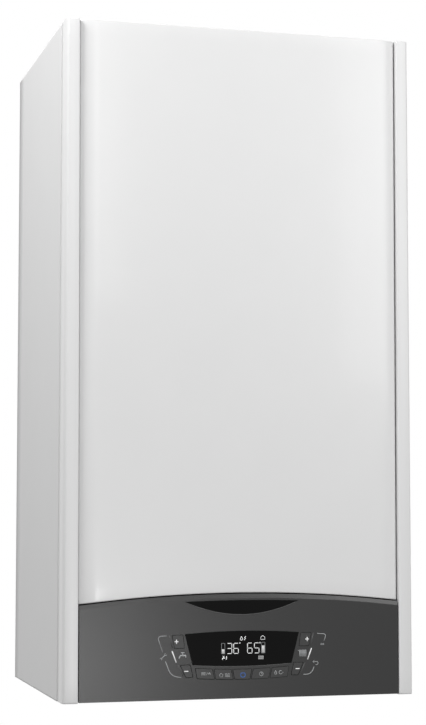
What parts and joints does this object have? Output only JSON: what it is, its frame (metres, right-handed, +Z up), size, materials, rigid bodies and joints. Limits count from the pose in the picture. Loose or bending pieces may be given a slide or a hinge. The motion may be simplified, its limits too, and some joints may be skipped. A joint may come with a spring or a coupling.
{
  "type": "combi boiler",
  "caption": "Wall-hung combi boiler with a flat pull-off front between two edge rails, an arched fold-down control panel with keys and display, and its heating, gas and water groups inside.",
  "frame": {"origin": "the hanging point: middle of the back frame's slotted top bar, on the wall plane", "axes": "+Z up, +Y into the wall, the front looks towards -Y, +X to the right seen from the front"},
  "size_m": [0.4, 0.319, 0.785],
  "materials": {
    "white_paint": "semi-gloss",
    "side_paint": "satin",
    "rail_plastic": "satin",
    "anthracite_plastic": "matte",
    "black_gloss": "gloss",
    "galvanised": "satin",
    "dark_plastic": "matte",
    "light_plastic": "matte",
    "board_green": "satin",
    "vessel_red": "satin",
    "cast_aluminium": "matte",
    "stainless": "satin",
    "copper": "satin",
    "brass": "satin",
    "steel_pipe": "satin",
    "rubber": "matte",
    "ceramic_white": "satin",
    "dark_cast": "matte",
    "knob_red": "satin",
    "knob_black": "satin",
    "clear_lens": "clear"
  },
  "bodies": {
    "chassis": {"back_frame": "galvanised", "left_side_panel": "side_paint", "right_side_panel": "side_paint", "top_panel": "side_paint", "bottom_plate": "galvanised", "cable_gland": "dark_plastic", "flue_collar": "light_plastic", "flue_gasket": "rubber", "flue_duct": "light_plastic", "air_intake_cap": "dark_plastic", "expansion_vessel": "vessel_red", "exchanger_shell": "cast_aluminium", "exchanger_coil": "stainless", "burner_door": "cast_aluminium", "burner_tube": "stainless", "ignition_electrode": "ceramic_white", "fan_housing": "cast_aluminium", "fan_motor": "dark_cast", "air_mixer": "cast_aluminium", "air_silencer": "dark_plastic", "gas_valve": "cast_aluminium", "gas_pipe_upper": "steel_pipe", "gas_pipe": "steel_pipe", "condensate_trap": "light_plastic", "flow_group": "brass", "diverter_actuator": "dark_plastic", "return_group": "brass", "plate_exchanger": "stainless", "pump_body": "dark_plastic", "pump_motor": "dark_cast", "flow_pipe": "copper", "return_pipe": "copper", "vessel_pipe": "copper", "safety_valve": "brass", "pressure_gauge": "knob_black", "gauge_lens": "clear_lens"},
    "front_casing": {"front_door": "white_paint", "left_rail": "rail_plastic", "right_rail": "rail_plastic"},
    "control_panel": {"fascia": "anthracite_plastic", "badge_plate": "black_gloss", "display_lens": "black_gloss", "lcd_module": "light_plastic", "control_box": "dark_plastic", "circuit_board": "board_green"},
    "hot_water_plus": {"key_hot_water_plus": "anthracite_plastic"},
    "hot_water_minus": {"key_hot_water_minus": "anthracite_plastic"},
    "heating_plus": {"key_heating_plus": "anthracite_plastic"},
    "heating_minus": {"key_heating_minus": "anthracite_plastic"},
    "mode": {"key_mode": "anthracite_plastic"},
    "comfort": {"key_comfort": "anthracite_plastic"},
    "power": {"key_power": "anthracite_plastic"},
    "auto": {"key_auto": "anthracite_plastic"},
    "reset": {"key_reset": "anthracite_plastic"},
    "fan_rotor": {"fan_impeller": "dark_plastic"},
    "pump_rotor": {"pump_impeller": "light_plastic"},
    "diverter": {"diverter_stem": "stainless"},
    "safety_knob": {"safety_valve_knob": "knob_red"},
    "filling_tap": {"filling_knob": "knob_black"},
    "needle": {"gauge_needle": "knob_red"}
  },
  "joints": [
    {"name": "front_pull", "type": "slide", "parent": "chassis", "child": "front_casing", "axis": [0, -1, 0], "range_m": [0, 0.3]},
    {"name": "panel_fold", "type": "hinge", "parent": "chassis", "child": "control_panel", "pos_m": [0, -0.304, -0.687], "axis": [1, 0, 0], "range_deg": [0, 90]},
    {"name": "hot_water_plus_press", "type": "slide", "parent": "control_panel", "child": "hot_water_plus", "axis": [0, 1, 0], "range_m": [0, 0.001], "stiffness_N_per_m": 600, "springref_m": -0.001},
    {"name": "hot_water_minus_press", "type": "slide", "parent": "control_panel", "child": "hot_water_minus", "axis": [0, 1, 0], "range_m": [0, 0.001], "stiffness_N_per_m": 600, "springref_m": -0.001},
    {"name": "heating_plus_press", "type": "slide", "parent": "control_panel", "child": "heating_plus", "axis": [0, 1, 0], "range_m": [0, 0.001], "stiffness_N_per_m": 600, "springref_m": -0.001},
    {"name": "heating_minus_press", "type": "slide", "parent": "control_panel", "child": "heating_minus", "axis": [0, 1, 0], "range_m": [0, 0.001], "stiffness_N_per_m": 600, "springref_m": -0.001},
    {"name": "mode_press", "type": "slide", "parent": "control_panel", "child": "mode", "axis": [0, 1, 0], "range_m": [0, 0.001], "stiffness_N_per_m": 600, "springref_m": -0.001},
    {"name": "comfort_press", "type": "slide", "parent": "control_panel", "child": "comfort", "axis": [0, 1, 0], "range_m": [0, 0.001], "stiffness_N_per_m": 600, "springref_m": -0.001},
    {"name": "power_press", "type": "slide", "parent": "control_panel", "child": "power", "axis": [0, 1, 0], "range_m": [0, 0.001], "stiffness_N_per_m": 600, "springref_m": -0.001},
    {"name": "auto_press", "type": "slide", "parent": "control_panel", "child": "auto", "axis": [0, 1, 0], "range_m": [0, 0.001], "stiffness_N_per_m": 600, "springref_m": -0.001},
    {"name": "reset_press", "type": "slide", "parent": "control_panel", "child": "reset", "axis": [0, 1, 0], "range_m": [0, 0.001], "stiffness_N_per_m": 600, "springref_m": -0.001},
    {"name": "fan_spin", "type": "hinge", "parent": "chassis", "child": "fan_rotor", "pos_m": [-0.13, -0.238, -0.146], "axis": [0, 1, 0], "continuous": true},
    {"name": "pump_spin", "type": "hinge", "parent": "chassis", "child": "pump_rotor", "pos_m": [0.112, -0.14, -0.548], "axis": [0, 1, 0], "continuous": true},
    {"name": "diverter_shift", "type": "slide", "parent": "chassis", "child": "diverter", "axis": [0, 0, 1], "range_m": [-0.003, 0.003]},
    {"name": "safety_knob_turn", "type": "hinge", "parent": "chassis", "child": "safety_knob", "pos_m": [-0.1, -0.1936, -0.648], "axis": [0, -1, 0], "range_deg": [0, 90], "stiffness_Nm_per_rad": 0.05, "springref_deg": -11.46},
    {"name": "filling_knob_turn", "type": "hinge", "parent": "chassis", "child": "filling_tap", "pos_m": [0.089, -0.139, -0.706], "axis": [0, 0, 1], "range_deg": [0, 90]},
    {"name": "needle_turn", "type": "hinge", "parent": "chassis", "child": "needle", "pos_m": [-0.025, -0.205, -0.7015], "axis": [0, 0, 1], "range_deg": [0, 270], "stiffness_Nm_per_rad": 0.0002, "springref_deg": -5.73}
  ]
}
